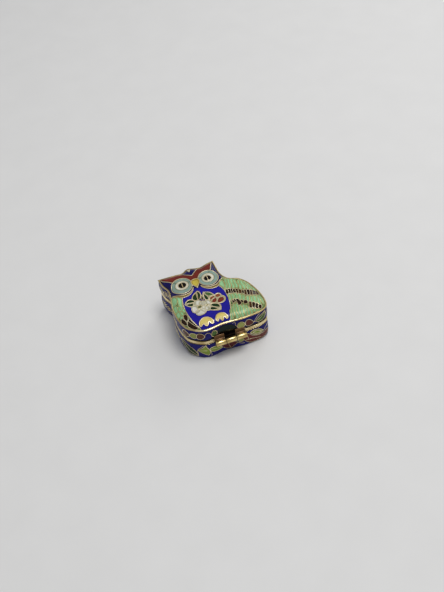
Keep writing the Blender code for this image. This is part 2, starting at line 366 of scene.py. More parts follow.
def enamel_sheet(name, edge, cells, ground, enamels, place, spacing):
    """The enamel of one surface, in triangles that follow every wire, one material per enamel.

    A cell painted later covers those before it. Between wires the surface sinks by
    SINK x (1 - exp(-(distance / SINK_REACH)^2)).
    """
    lines = [edge] + [outline for _, outline in cells]
    marks = np.concatenate(lines)
    low, high = edge.min(0), edge.max(0)
    rows = np.arange(low[1], high[1], spacing * math.sqrt(3) / 2)
    x, y = np.meshgrid(np.arange(low[0], high[0], spacing), rows)
    x = x + (np.arange(len(rows)) % 2)[:, None] * spacing / 2
    grid = np.column_stack([x.ravel(), y.ravel()])
    grid = grid[inside(grid, edge)]
    grid = grid[nearest(grid, marks) > spacing * CLEAR_OF_LINES]
    starts = np.cumsum([0] + [len(line) for line in lines])
    links = [
        np.column_stack([start + np.arange(len(line)), start + (np.arange(len(line)) + 1) % len(line)])
        for start, line in zip(starts, lines)
    ]
    points = np.concatenate([marks, grid])
    made = delaunay_2d_cdt([Vector(p) for p in points], np.concatenate(links).tolist(), [], 0, 1e-5, False)
    points, faces = np.array([tuple(p) for p in made[0]]), np.array(made[2])
    a, b, c = (points[faces[:, corner]] for corner in range(3))
    turn = (b[:, 0] - a[:, 0]) * (c[:, 1] - a[:, 1]) - (b[:, 1] - a[:, 1]) * (c[:, 0] - a[:, 0])
    faces = np.where((turn < 0)[:, None], faces[:, ::-1], faces)
    middles = (a + b + c) / 3
    kept = inside(middles, edge) & (abs(turn) > SLIVER)
    faces, middles = faces[kept], middles[kept]

    # Materials, and one tone for each cell
    names = list(dict.fromkeys([ground] + [enamel for enamel, _ in cells]))
    slots = np.zeros(len(faces), dtype=np.int32)
    tones = np.full(len(faces), 0.5)
    random = np.random.default_rng(7)
    for enamel, outline in cells:
        covered = inside(middles, outline)
        slots[covered] = names.index(enamel)
        tones[covered] = random.random()
    used, faces = np.unique(faces, return_inverse=True)
    points, faces = points[used], faces.reshape(-1, 3)
    gaps = nearest(points, marks)
    lift = -SINK * (1 - np.exp(-((gaps / SINK_REACH) ** 2)))
    points = place(points) + surface_normals(place, points) * lift[:, None]
    made = linked_object(name, points, faces.tolist(), [enamels[key] for key in names], slots)
    made.data.attributes.new("wire_gap", "FLOAT", "POINT").data.foreach_set("value", gaps.astype(np.float32))
    made.data.attributes.new("cell_tone", "FLOAT", "FACE").data.foreach_set("value", tones.astype(np.float32))
    return made


def seen_runs(edge, cells, threads, widths):
    """The stretches of wire within the edge and under no later cell: line, whether a ring, width.

    Widths holds the wire's width for each enamel that has its own, for the rest and for threads.
    Zero means none.
    """
    runs = []
    for index, (enamel, outline) in enumerate(cells):
        width = widths.get(enamel, widths["rest"])
        if width == 0:
            continue
        seen = inside(outline, edge)
        for _, later in cells[index + 1 :]:
            seen &= ~inside(outline, later)
        if seen.all():
            runs.append((outline, True, width))
        elif seen.any():
            first = np.flatnonzero(~seen)[0]
            outline, seen = np.roll(outline, -first, axis=0), np.roll(seen, -first)
            runs += [(line, False, width) for line in cut_where_hidden(outline, seen)]
    for thread in threads:
        runs += [(line, False, widths["thread"]) for line in cut_where_hidden(thread, inside(thread, edge))]
    return runs


def cut_where_hidden(line, seen):
    """The seen stretches of an open line that hold at least three points."""
    ends = np.flatnonzero(np.diff(np.concatenate([[0], seen.astype(int), [0]])))
    return [line[a:b] for a, b in zip(ends[::2], ends[1::2]) if b - a >= 3]


# Half section of the wire: across as a share of half its width, up as a share of its height
WIRE_SECTION = np.array([(-1, -1.4), (-0.92, 0.25), (-0.5, 0.9), (0.5, 0.9), (0.92, 0.25), (1, -1.4)])


def wire_net(name, runs, place, height, material):
    """Gilt wires: a low rounded section carried along every run, square to the surface and to the run."""
    points, faces, start = [], [], 0
    corners = len(WIRE_SECTION)
    for line, ring, width in runs:
        centre, normal = place(line), surface_normals(place, line)
        side = np.cross(normal, directions(centre, ring))[:, None] * (WIRE_SECTION[None, :, :1] * width / 2)
        section = centre[:, None] + side + normal[:, None] * (WIRE_SECTION[None, :, 1:] * height)
        points.append(section.reshape(-1, 3))
        count = len(line)
        steps = np.arange(count if ring else count - 1)[:, None]
        turn = np.arange(corners)[None]
        here, there = start + steps * corners, start + (steps + 1) % count * corners
        following = (turn + 1) % corners
        quads = np.stack([here + turn, there + turn, there + following, here + following], -1)
        faces += quads.reshape(-1, 4).tolist()
        if not ring:
            faces.append([start + corner for corner in range(corners)])
            faces.append([start + count * corners - 1 - corner for corner in range(corners)])
        start += count * corners
    return linked_object(name, np.concatenate(points), faces, [material])


def vitreous_enamel(name, colour, edge_colour, roughness=0.14, gloss=0.18):
    """Vitreous enamel: lead glass fired on copper and polished.

    Glassy, with a grain of unmelted frit 0.3 mm across, clouds 3 mm across, pinholes that hold
    dirt, and a thinner, darker margin against the wires, where copper and scale show through.
    """
    made, tree, shader = new_material(name)
    place = add_node(tree, "TexCoord", "Object")
    gap = add_node(tree, "Attribute", "Fac", attribute_name="wire_gap")
    tone = add_node(tree, "Attribute", "Fac", attribute_name="cell_tone")
    cloud = add_node(tree, "TexNoise", "Fac", {"Vector": place, "Scale": 330, "Detail": 3})
    frit = add_node(tree, "TexNoise", "Fac", {"Vector": place, "Scale": 3300, "Detail": 2})
    pits = add_node(tree, "TexVoronoi", "Distance", {"Vector": place, "Scale": 1300, "Randomness": 1})
    thin = {0: gap, 1: 0.12, 2: 0.62, 3: 0.85, 4: 0}
    mixed = add_node(tree, "MapRange", 0, thin, interpolation_type="SMOOTHSTEP")
    for amount in ({0: cloud, 1: 0.3, 2: 0.7, 3: 0, 4: 0.45}, {0: frit, 1: 0.35, 2: 0.65, 3: -0.1, 4: 0.1}):
        mixed = add_node(tree, "Math", 0, {0: mixed, 1: add_node(tree, "MapRange", 0, amount)})
    spread = add_node(tree, "MapRange", 0, {0: tone, 1: 0, 2: 1, 3: -0.14, 4: 0.14})
    mixed = add_node(tree, "Math", 0, {0: mixed, 1: spread}, use_clamp=True)
    body = add_node(tree, "Mix", 2, {0: mixed, 6: linear(colour), 7: linear(edge_colour)}, data_type="RGBA")
    pit = add_node(tree, "MapRange", 0, {0: pits, 1: 0.06, 2: 0.1, 3: 0.7, 4: 0})
    body = add_node(tree, "Mix", 2, {0: pit, 6: body, 7: linear(PIT_DIRT)}, data_type="RGBA")
    dull = add_node(tree, "MapRange", 0, {0: cloud, 1: 0.3, 2: 0.7, 3: roughness * 0.75, 4: roughness * 1.5})
    ripple = add_node(tree, "TexNoise", "Fac", {"Vector": place, "Scale": 900, "Detail": 2})
    height = add_node(tree, "Math", 0, {0: pit, 1: -0.5, 2: ripple}, operation="MULTIPLY_ADD")
    bump = add_node(tree, "Bump", 0, {"Height": height, "Strength": 0.35, "Distance": 0.00003})
    feed(shader, {"Base Color": body, "Roughness": dull, "Normal": bump})
    feed(shader, {"IOR": 1.52, "Specular IOR Level": gloss})
    return made


def gilt_brass(name, colour, worn_colour, roughness):
    """Gilt brass and copper: thin gold plate, polished by hand, browner where it has worn or holds wax."""
    made, tree, shader = new_material(name)
    place = add_node(tree, "TexCoord", "Object")
    patch = add_node(tree, "TexNoise", "Fac", {"Vector": place, "Scale": 170, "Detail": 3})
    worn = add_node(tree, "MapRange", 0, {0: patch, 1: 0.44, 2: 0.68, 3: 0, 4: 0.75})
    body = add_node(tree, "Mix", 2, {0: worn, 6: linear(colour), 7: linear(worn_colour)}, data_type="RGBA")
    dull = add_node(tree, "MapRange", 0, {0: worn, 1: 0, 2: 0.75, 3: roughness, 4: roughness * 1.8})
    rub = add_node(tree, "TexNoise", "Fac", {"Vector": place, "Scale": 1900, "Detail": 3})
    bump = add_node(tree, "Bump", 0, {"Height": rub, "Strength": 0.04, "Distance": 0.00002})
    feed(shader, {"Base Color": body, "Roughness": dull, "Normal": bump, "Metallic": 1})
    return made


PIT_DIRT = "#2A2218"
# Each enamel: its colour in a thick layer, and thinner beside the wires
ENAMEL_COLOURS = {
    "ultramarine": ("#211C98", "#150F5A"),
    "indigo": ("#16135C", "#0D0A34"),
    "navy": ("#1D1B72", "#0D0C30"),
    "mint": ("#9DD09B", "#7AA36C"),
    "moss": ("#84A264", "#5F7444"),
    "chestnut": ("#301B0B", "#180E05"),
    "hazel": ("#5F3C1B", "#301D0A"),
    "russet": ("#782B20", "#4A1811"),
    "celadon": ("#8FA69B", "#6B7A68"),
    "ivory": ("#E6E5D8", "#BDB9A2"),
    "jet": ("#0F0B07", "#060504"),
    "straw": ("#CBB94C", "#9A8434"),
    "cream_yellow": ("#E2CF78", "#BFA552"),
    "ochre": ("#AE995D", "#7C6839"),
    "opal": ("#DEDCCF", "#A9A68C"),
    "parchment": ("#C4BF9C", "#9A9470"),
    "khaki": ("#8B8F5E", "#636440"),
    "bottle": ("#1F3A1A", "#12240E"),
    "fern": ("#4F6E38", "#304820"),
    # Painted shade: a near-black green for leaves in the shade above the hinge
    "painted_shade_green": ("#1B2A24", "#101A16"),
    "rust": ("#803625", "#502014"),
    "amber": ("#985431", "#65331C"),
    "maroon": ("#5C2529", "#321214"),
    "lime": ("#98AE48", "#64752A"),
    "pistachio": ("#A9AE62", "#727A3C"),
    "cocoa": ("#6A4336", "#402820"),
    "brick": ("#6F352E", "#43201C"),
}
enamels = {key: vitreous_enamel("enamel_" + key, *both) for key, both in ENAMEL_COLOURS.items()}
# The walls are polished less than the dome
wall_enamels = {
    key: vitreous_enamel("wall_enamel_" + key, *both, roughness=0.2, gloss=0.08)
    for key, both in ENAMEL_COLOURS.items()
}
gilt_wire = gilt_brass("gilt_wire", "#EFE1BC", "#B9A26F", 0.36)
worn_wire = gilt_brass("worn_wire", "#D3C48C", "#9C8E56", 0.42)

dome_cells = drawn([
    # The blue of the head is darker than that of the breast and meets it below the beak
    ("indigo", [(-25, 4.4, 0), (-19.2, 5.1), (-17, 3.4), (-13.2, 2.2), (-9.4, 3.6), (-7.4, 5.2),
        (-6, 4.7), (-4.6, 5.2), (-3, 4), (0.6, 2.4), (3.6, 2.8), (6.1, 5.2), (11, 9.4, 0), (25, 9.4, 0),
        (25, 25, 0), (-25, 25, 0)]),
    ("moss", [(-15.8, -0.8), (-16.2, -3.5), (-16.3, -6.5), (-16.1, -9.5), (-15.6, -12.5), (-14.9, -15.1),
        (-14, -17.3), (-12.9, -19.3), (-12.4, -21.8, 0), (-24, -21.8, 0), (-24, 5.4, 0), (-19.2, 5.1, 0),
        (-17.6, 3.1), (-16.2, 2.1), (-15.2, 1.5, 0)]),
    ("moss", [(2.8, -19.4), (3.8, -17.4), (4.6, -15.1), (5.3, -12.5), (5.8, -9.8), (6.05, -7.2), (6.05, -4.6),
        (5.85, -2.3), (5.4, -0.6), (4.8, 0.8), (4.1, 1.8, 0), (5, 3.3), (5.7, 4.9, 0), (7.4, 6.1),
        (9.6, 7.9), (11, 9.4, 0), (24, 9.4, 0), (24, -21.8, 0), (2.3, -21.8, 0)]),
    ("ochre", [(-19.3, 5.3, 0), (-17.8, 4.2), (-15.8, 3.35), (-13.2, 2.95), (-10.8, 3.3), (-9.2, 4.3),
        (-8, 6, 0), (-8.6, 4.4), (-9.7, 2.9), (-11.2, 1.9), (-13.2, 1.4), (-15.4, 1.6), (-17.2, 2.7),
        (-18.5, 4)]),
    ("ochre", [(-4.1, 5.8, 0), (-3, 4.6), (-1.3, 3.5), (0.9, 3), (3.1, 3.2), (4.7, 4), (6.1, 5.4, 0),
        (5.5, 3.8), (4.2, 2.1), (2.5, 1.45), (0.5, 1.6), (-1.4, 2.3), (-2.9, 3.5), (-3.8, 4.7)]),
    ("russet", [(-23, 20.6, 0), (-22, 19.1), (-21.2, 17.4), (-20.2, 16), (-18.9, 14.8), (-17.7, 13.8),
        (-16.9, 13, 0), (-12, 10), (-7.7, 10.4, 0), (-4.1, 10.4, 0), (0, 11), (3.5, 13.3, 0), (4, 14.3),
        (4.6, 15.7), (5.3, 17.3), (5.95, 19), (6.4, 21.6, 0), (-1.4, 22.5, 0), (-0.7, 19.6), (-1.8, 18.3),
        (-3.2, 16.8), (-4.8, 15.2), (-6.2, 13.9, 0), (-7.9, 15), (-9.6, 16.2), (-10.9, 17.6), (-11.8, 19),
        (-12, 22.5, 0)]),
    ("opal", [(-6.6, 16.9, 0), (-6.1, 17.8), (-5.7, 18.9), (-5.6, 20.2), (-6.9, 20.1), (-7.2, 18.6),
        (-7, 17.6)]),
    ("jet", (-6.4, 19.3, 0.9, 1.1)),
    ("celadon", (-13.1, 9.15, 10.8, 10.4)),
    ("ivory", (-12.9, 9.4, 6.7, 5.9)),
    ("jet", (-12.7, 9.45, 4.2, 3.8)),
    ("celadon", (1.05, 9.05, 10.4, 10.4)),
    ("ivory", (0.95, 9.15, 6.3, 5.9)),
    ("jet", (0.65, 9, 3.9, 3.6)),
    ("straw", [(-7.3, 10.7), (-5.9, 11.1), (-4.4, 10.8), (-3.75, 9.7), (-3.85, 8.3), (-4.7, 6.9), (-5.5, 5.8),
        (-6, 4.9, 0), (-6.6, 6), (-7.4, 7.1), (-8.05, 8.3), (-8, 9.7)]),
    # Breast: leaves, the double white flower and its bud
    ("parchment", [(-11, -2.1), (-10.6, -0.5), (-9.8, 0.8), (-8.5, 1.8), (-6.9, 2.7, 0), (-6.1, 1.6),
        (-5.95, 0.3), (-6.2, -1), (-7, -2.4), (-8.6, -3.2), (-10.2, -3)]),
    ("bottle", [(-10.7, -1.6), (-10.2, 0), (-9.2, 1), (-8, 1.7, 0), (-8.3, -0.4), (-8.6, -2.8),
        (-10.1, -2.7)]),
    ("bottle", [(-7.1, 2.3), (-6.35, 1.2), (-6.2, -0.2), (-6.7, -1.6), (-7.9, -2.9), (-8, -1.4),
        (-7.6, 0.3)]),
    ("parchment", [(-15.4, -3.4, 0), (-14.3, -1.9), (-12.7, -1.2), (-11.1, -1.7), (-10.1, -3),
        (-10.3, -4.8), (-11.4, -6.1), (-13.1, -5.9), (-14.5, -4.8)]),
    ("bottle", [(-14.7, -3, 0), (-13.9, -1.9), (-12.7, -1.45), (-11.3, -1.9), (-10.3, -3.3), (-11.4, -3.6),
        (-12.9, -3.3)]),
    ("bottle", [(-14.9, -3.6, 0), (-13, -3.8), (-11, -4.3), (-11, -5.6), (-12.3, -5.85),
        (-13.9, -5.1)]),
    ("jet", [(-5.5, -0.6, 0), (-5.5, -2.2), (-5.9, -3.9), (-6.5, -4), (-6.7, -3), (-6.2, -1.6)]),
    ("parchment", [(-4.4, 0.9, 0), (-3.1, 0.3), (-1.7, -0.3), (-0.8, -1.3), (-0.2, -2.9), (-1.3, -3),
        (-2.4, -3.4), (-3, -4.6), (-4, -5.1), (-4.9, -4.4), (-5.2, -2.6), (-5, -0.7)]),
    ("bottle", [(-4.5, 0.4, 0), (-4, -1.2), (-3.3, -2.8), (-3.3, -4.2), (-4, -4.85), (-4.75, -4.1),
        (-5, -2.3)]),
    ("fern", [(-4, 0.5, 0), (-2.9, 0.1), (-1.8, -0.5), (-1, -1.5), (-0.5, -2.7), (-1.9, -2.9),
        (-3, -2.3), (-3.7, -1)]),
    ("opal", (-9.3, -5.1, 4.4, 4, 10, 2.3)),
    ("opal", (-11.3, -8.2, 4, 5, -8, 2.3)),
    ("opal", (-9.4, -11, 5.2, 3.8, 8, 2.3)),
    ("ivory", (-7, -9.4, 3.4, 4.2, 25, 2.3)),
    ("opal", (-6.8, -6.2, 3.4, 3.4, 0, 2.2)),
    ("opal", (-4.5, -6.5, 3.6, 3.6, 0, 2.2)),
    ("opal", (-5.2, -9.6, 3, 4.2, -25, 2.3)),
    ("khaki", (-9.1, -7.7, 2.6, 1.9, 20, 2.2)),
    ("khaki", (-5.2, -8, 1.5, 1.1, 0, 2.2)),
    ("parchment", [(-3.2, -6), (-2.8, -4.2), (-1.6, -3), (0.1, -3.2), (1.6, -2.7), (3, -3.2),
        (3.4, -4.7), (4.4, -5.8), (4.6, -7.3), (3.7, -8.8), (2, -9.4), (0.3, -9.1), (-1.2, -8.6),
        (-2.6, -7.6)]),
    ("amber", [(-2.7, -4.9), (-2.2, -3.9), (-1.1, -3.5), (0, -3.9), (-0.4, -4.8), (-1.4, -5.1),
        (-2.4, -5.7)]),
    ("amber", (1.65, -4.2, 2.6, 2.3, 0, 2.2)),
    ("rust", [(-2.4, -7), (-1.8, -5.9), (-0.6, -5.2), (0.4, -5.4), (0.4, -6.4), (-0.3, -7.6),
        (-1.4, -8)]),
    ("rust", [(0.2, -8.2), (0.8, -6.8), (1.8, -5.8), (3.2, -5.8), (4, -6.9), (3.5, -8.2), (2, -8.9),
        (0.8, -8.9)]),
    ("parchment", [(-3.3, -7.8), (-1.6, -8.2), (-0.1, -9), (0.7, -10.1), (0.8, -11.6), (0.2, -13.5, 0),
        (-1.5, -13.1), (-3.2, -12.4), (-4.9, -11.5, 0), (-4.1, -9.7)]),
    ("bottle", [(-3.1, -8.2), (-1.5, -8.45), (-0.1, -9.3), (0.4, -10.5), (0.2, -11.9, 0), (-1.2, -11),
        (-2.9, -9.9)]),
    ("bottle", [(-4.1, -10.1), (-3.1, -10.2), (-1.9, -11.1), (-0.8, -12.4, 0), (-2.6, -12.3), (-4.5, -11.4)]),
    ("opal", [(0.55, -11.6), (0.6, -12.4), (0.2, -13.5, 0), (-1, -13.1), (-0.3, -12.3)]),
    # Feet, each with three toes
    ("cream_yellow", [(-12.6, -18.4), (-12.3, -16.9), (-11.1, -15.6), (-9.5, -14.9), (-7.9, -15.1),
        (-6.5, -16.1), (-5.7, -17.4), (-5.5, -18.8), (-6.2, -19.2), (-7, -18.9), (-7.3, -18),
        (-7.9, -17.8), (-8.3, -18.6), (-9, -19.5), (-9.9, -19.2), (-10.3, -18.4), (-11, -18.2),
        (-11.6, -18.7), (-12.2, -18.9)]),
    ("cream_yellow", [(-4.1, -18.2), (-3.8, -16.9), (-2.9, -15.7), (-1.5, -15.2), (-0.1, -15.4), (1.1, -16.2),
        (1.7, -17.3), (2, -18.4), (1.4, -19), (0.8, -18.7), (0.5, -17.9), (-0.2, -17.9), (-0.5, -18.8),
        (-1.2, -19.1), (-1.8, -18.5), (-2.1, -17.8), (-2.7, -18.1), (-3.1, -18.8), (-3.7, -18.8)]),
    # Left wing: mint feathers above, dark ones below
    ("mint", [(-22.5, 4.9), (-19.5, 4.5), (-18.2, 3.2), (-18, 1.2), (-18.6, -0.5), (-19.6, -1.2),
        (-22.5, -1)]),
    ("mint", [(-17.6, 3), (-16.4, 2.1), (-15.7, 1), (-16.1, -1), (-16.6, -3.2), (-17, -5),
        (-17.8, -5.5), (-18.3, -4.2), (-18.3, -1.6), (-17.9, 0.8)]),
    ("mint", (-20.4, -3.4, 2.3, 4.4, 8, 3)),
    ("mint", (-18.7, -4.7, 1.7, 3.4, 6, 3)),
    ("mint", (-17.1, -6.7, 1.7, 2.9, 4, 3)),
    ("mint", (-20.1, -7.4, 2.1, 3.4, 8, 3)),
    ("mint", (-18.4, -7.9, 1.6, 2.8, 4, 3)),
    ("mint", (-19.3, -10, 1.7, 2, 10, 3)),
    ("chestnut", [(-18.2, -9.5), (-17.4, -9.2), (-16.6, -9.8), (-16.4, -11.3), (-16.9, -12.8), (-17.5, -13.5),
        (-18.1, -12.4), (-18.5, -10.9)]),
    ("chestnut", [(-20.1, -10.9), (-19.4, -10.5), (-18.7, -11.6), (-18, -13.4), (-17.9, -14.9),
        (-18.8, -14.6), (-19.8, -12.9)]),
    ("chestnut", [(-17.8, -14.6), (-17, -13.6), (-16, -15.3), (-14.8, -17.1), (-13.2, -19, 0),
        (-15, -18.8), (-16.7, -17.5), (-17.9, -15.9)]),
    ("chestnut", [(-16.8, -13.1), (-15.9, -12.9), (-15.4, -14.4), (-14.4, -16.6), (-12.9, -19.1, 0),
        (-14.9, -17), (-16.2, -15)]),
    # Right wing: the feather at the owl's shoulder
    ("mint", [(4.9, 3), (5.9, 4.3), (6.9, 4.6), (7.3, 3.2), (7.1, 1), (6.7, -1), (6.3, -2.2), (6.1, -0.8),
        (5.5, 0.7), (4.8, 1.8)]),
])
# Right wing feathers, each x, y, width, height and tilt: mint fields with two rows of dark feathers between
mint_feathers = [
    (8.1, 1.7, 1.35, 7.4, -8), (9.6, 1.2, 1.3, 7.6, -7), (11.1, 0.8, 1.25, 7.2, -6),
    (12.6, 0, 1.3, 7.2, -4), (14.1, -1.6, 1.3, 7, -3), (15.6, -2.3, 1.3, 7, -1),
    (17.1, -3.1, 1.3, 6.9, 2), (18.5, -3.7, 1.25, 6.4, 6), (19.9, -5.8, 1.1, 4.6, 10),
    (11, 5.9, 2.6, 1.3, -34), (13.6, 4.1, 2.8, 1.3, -32), (16.1, 2.4, 2.6, 1.3, -38),
    (18.1, 0.5, 2.3, 1.2, -50), (19.7, -1.9, 2.4, 1, -60), (8.7, 6.3, 1.7, 1.2, -30),
    (6.95, -7.6, 1.35, 4, -4), (8.5, -7.6, 1.4, 3.7, -4), (10, -8.2, 1.3, 4.3, -6),
    (11.5, -9.2, 1.3, 4.4, -6), (13, -10.6, 1.3, 4.2, -6), (14.6, -12.3, 1.4, 4.2, -8),
    (16.3, -13.2, 1.35, 5, -8), (17.9, -13.7, 1.3, 5.6, -6), (19.4, -14.3, 1.35, 6.6, -3),
    (20.9, -14.2, 1, 6.2, 2), (4.2, -17.6, 1.1, 5.4, -17), (5.2, -16.3, 1.1, 6.4, -13),
    (6.55, -16.4, 1.25, 8.2, -9), (8, -16.6, 1.3, 7.8, -7), (9.45, -17.7, 1.4, 6.2, -5),
    (11, -17.6, 1.3, 6.4, -4), (12.5, -18, 1.3, 5.6, -2), (13.75, -18.5, 0.8, 4.2, 0),
    (15.3, -19.3, 1.7, 1.5, 4), (17.2, -19.5, 1.5, 1.1, 6),
]
dark_feathers = [
    ("chestnut", 6.95, -3.6, 1.1, 3.1, -3), ("chestnut", 8.1, -3.8, 1.05, 3.1, -3),
    ("chestnut", 9.2, -4.1, 1.0, 2.9, -2), ("chestnut", 10.35, -4.6, 1.15, 2.6, 4),
    ("hazel", 11.6, -5.3, 1.2, 2.8, 4), ("hazel", 12.85, -6.0, 1.2, 2.8, 2),
    ("chestnut", 14.0, -7.0, 0.95, 2.0, 0), ("hazel", 15.2, -7.7, 1.2, 3.4, -2),
    ("chestnut", 16.5, -8.2, 1.2, 3.6, -6), ("hazel", 17.8, -8.7, 1.2, 3.4, -8),
    ("chestnut", 19.1, -9.1, 1.15, 3.2, -8), ("hazel", 20.5, -9.5, 1.25, 2.8, -4),
    ("fern", 6.4, -11.3, 0.9, 2.3, -4), ("chestnut", 7.4, -11.0, 0.95, 1.9, 10),
    ("chestnut", 8.5, -10.9, 1.0, 2.2, 16), ("chestnut", 9.8, -12.2, 1.35, 3.9, 2),
    ("chestnut", 11.4, -12.6, 1.15, 1.8, 0), ("chestnut", 12.9, -13.6, 1.5, 2.3, -14),
    ("hazel", 14.7, -16.0, 1.2, 3.6, -6), ("chestnut", 16.0, -16.8, 1.2, 3.2, -8),
    ("chestnut", 17.4, -17.5, 1.25, 2.4, -14), ("chestnut", 18.8, -18.3, 1.2, 1.6, -10),
]
FEATHER_POWER, BAR_POWER = 3.0, 4.0


def hand_bent(line):
    """The line swayed as hand-bent wire is: two slow waves, 4 and 7 mm long, of about 0.1 mm."""
    x, y = line.T
    sway = 0.15 * np.sin(1.5 * y + 0.8 * x) + 0.1 * np.sin(0.9 * y - 1.7 * x)
    return line + np.column_stack([sway, 0.4 * sway])


random = np.random.default_rng(12)
for x, y, width, height, tilt in mint_feathers:
    width *= random.uniform(1.08, 1.46)
    x, y = x + random.uniform(-0.12, 0.12), y + random.uniform(-0.25, 0.25)
    tilt += random.uniform(-4, 4)
    dome_cells.append(("mint", hand_bent(oval(x, y, width, height, tilt, FEATHER_POWER))))
dome_cells += [
    (enamel, hand_bent(oval(x, y, 1.32 * width, 1.12 * height, tilt, BAR_POWER)))
    for enamel, x, y, width, height, tilt in dark_feathers
]

EDGE_INSET, WIRE_HEIGHT = 0.62, 0.05
dome_edge = evenly(owl_ring(EDGE_INSET), PATH_STEP, closed=True)
FINE, FEATHER = 0.24, 0.27
DOME_WIDTHS = {"rest": 0.38, "thread": 0.42, "mint": FEATHER, "indigo": 0, "ivory": 0.18}
DOME_WIDTHS |= dict.fromkeys(("bottle", "fern", "opal", "rust", "amber", "jet", "chestnut", "hazel"), FINE)
PUPILS, PUPIL_REACH = ((-12.7, 9.45), (0.65, 9.0)), 1.5
pupil_wires = [
    np.column_stack([np.full(8, x), np.linspace(y - PUPIL_REACH, y + PUPIL_REACH, 8)]) for x, y in PUPILS
]
lid_top = enamel_sheet("lid_top", dome_edge, dome_cells, "ultramarine", enamels, on_dome, spacing=0.4)
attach(lid_top, "lid")
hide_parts("lid_shell")
dome_runs = seen_runs(dome_edge, dome_cells, pupil_wires, DOME_WIDTHS)
figure_runs = [run for run in dome_runs if run[2] != FEATHER]
lid_top_wires = wire_net("lid_top_wires", figure_runs, on_dome, WIRE_HEIGHT, gilt_wire)
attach(lid_top_wires, "lid")
feather_runs = [run for run in dome_runs if run[2] == FEATHER]
wing_wires = wire_net("wing_wires", feather_runs, on_dome, WIRE_HEIGHT, worn_wire)
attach(wing_wires, "lid")

# ---- Lid wall: the same copper sheet turned down at the edge, navy enamel with a vine of buds and leaves.
# The layout runs anticlockwise along the outline from the left ear tip, and up.

BELLY, WALL, GAP = 0.3, 1.3, 0.3
BASE_HEIGHT, BAND_BOTTOM, BAND_TOP = 10.8, 11.1, 13.1
RING_INSETS = np.array((0.0, 0.15, 0.3, 0.6, 0.9, 1.2))
ring_stack = np.stack([owl_ring(inset) for inset in RING_INSETS])
ring_stack = np.concatenate([ring_stack, ring_stack[:, :1]], 1)
ring_length = lengths_along(ring_stack[0])
AROUND = ring_length[-1]


def on_outline(along, inset):
    """Plan points at a length along the outline and drawn in by the inset, between the nearest rings."""
    place = np.interp(along, ring_length, np.arange(len(ring_length)))
    step = np.minimum(place.astype(int), len(ring_length) - 2)
    level = np.interp(inset, RING_INSETS, np.arange(len(RING_INSETS)))
    ring = np.minimum(level.astype(int), len(RING_INSETS) - 2)
    u, v = (place - step)[:, None], (level - ring)[:, None]
    low = ring_stack[ring, step] * (1 - u) + ring_stack[ring, step + 1] * u
    high = ring_stack[ring + 1, step] * (1 - u) + ring_stack[ring + 1, step + 1] * u
    return low * (1 - v) + high * v


def on_lid_wall(points):
    """Layout points on the lid's wall, which swells by BELLY towards half height."""
    share = np.clip((points[:, 1] - LID_BOTTOM) / (LID_SHOULDER - LID_BOTTOM), 0, 1)
    return np.column_stack([on_outline(points[:, 0], BELLY * (2 * share - 1) ** 2), points[:, 1]])


def strip_edge(low, high, step=0.4):
    """The outline of a strip all the way round, between two heights."""
    along, up = np.arange(0, AROUND, step), np.arange(low, high, step)
    side, end = np.ones(len(along)), np.ones(len(up))
    there = ((along, side * low), (end * AROUND, up))
    back = ((AROUND - along, side * high), (end * 0, low + high - up))
    return np.concatenate([np.column_stack(pair) for pair in there + back])


def open_path(knots):
    """A smooth open line through the knots, in even steps."""
    return evenly(smooth_path(knots), PATH_STEP, closed=False)


def moved(shape, along, up, flip=1):
    """The shape's knots moved along and up, and turned over where flip is -1."""
    return [(along + x, up + y * flip) for x, y in shape]


LEAF = [
    (-2.5, -0.3), (-2.5, -0.3), (-1.2, 1.1), (0.4, 1.6), (1.9, 1), (2.8, -0.5), (2.8, -0.5), (1.4, -1.2),
    (-0.2, -1.3), (-1.5, -1),
]
VEIN = [(-2.3, -0.3), (-0.6, 0.2), (1.0, 0.1), (2.5, -0.4)]
CURL = [(-1.9, -0.9), (-0.9, 0.6), (0.5, 1.1), (1.5, 0.3), (1.2, -0.7), (0.3, -0.6)]


def blossom(along, up, petal, heart, size):
    """Cells of a flower: five petals round a heart."""
    turns = [math.radians(90 + 72 * step) for step in range(5)]
    reach, wide, high, middle = 1.2 * size, 1.6 * size, 1.7 * size, 1.5 * size
    cells = [(petal, oval(along + reach * math.cos(a), up + reach * math.sin(a), wide, high)) for a in turns]
    return cells + [(heart, oval(along, up, middle, middle))]


def spray(along, up, petal, leaf, size=1.0, flip=1):
    """Cells and threads of a blossom between two veined leaves, with a curl of wire over or under each."""
    cells, threads = [], []
    for side, rise in ((1, 0.4), (-1, -0.3)):
        shape, vein = ([(x * size * side, y * size) for x, y in line] for line in (LEAF, VEIN))
        middle = (along + 4.6 * size * side, up + rise * flip)
        cells.append((leaf, closed_path(moved(shape, *middle, flip * side))))
        threads.append(open_path(moved(vein, *middle, flip * side)))
        curl = [(0.75 * x * size * side, 0.75 * y * size) for x, y in CURL]
        middle = (along + 2.9 * size * side, up + 2.3 * side * flip)
        threads.append(open_path(moved(curl, *middle, -side * flip)))
    return cells + blossom(along, up, petal, "straw", size), threads


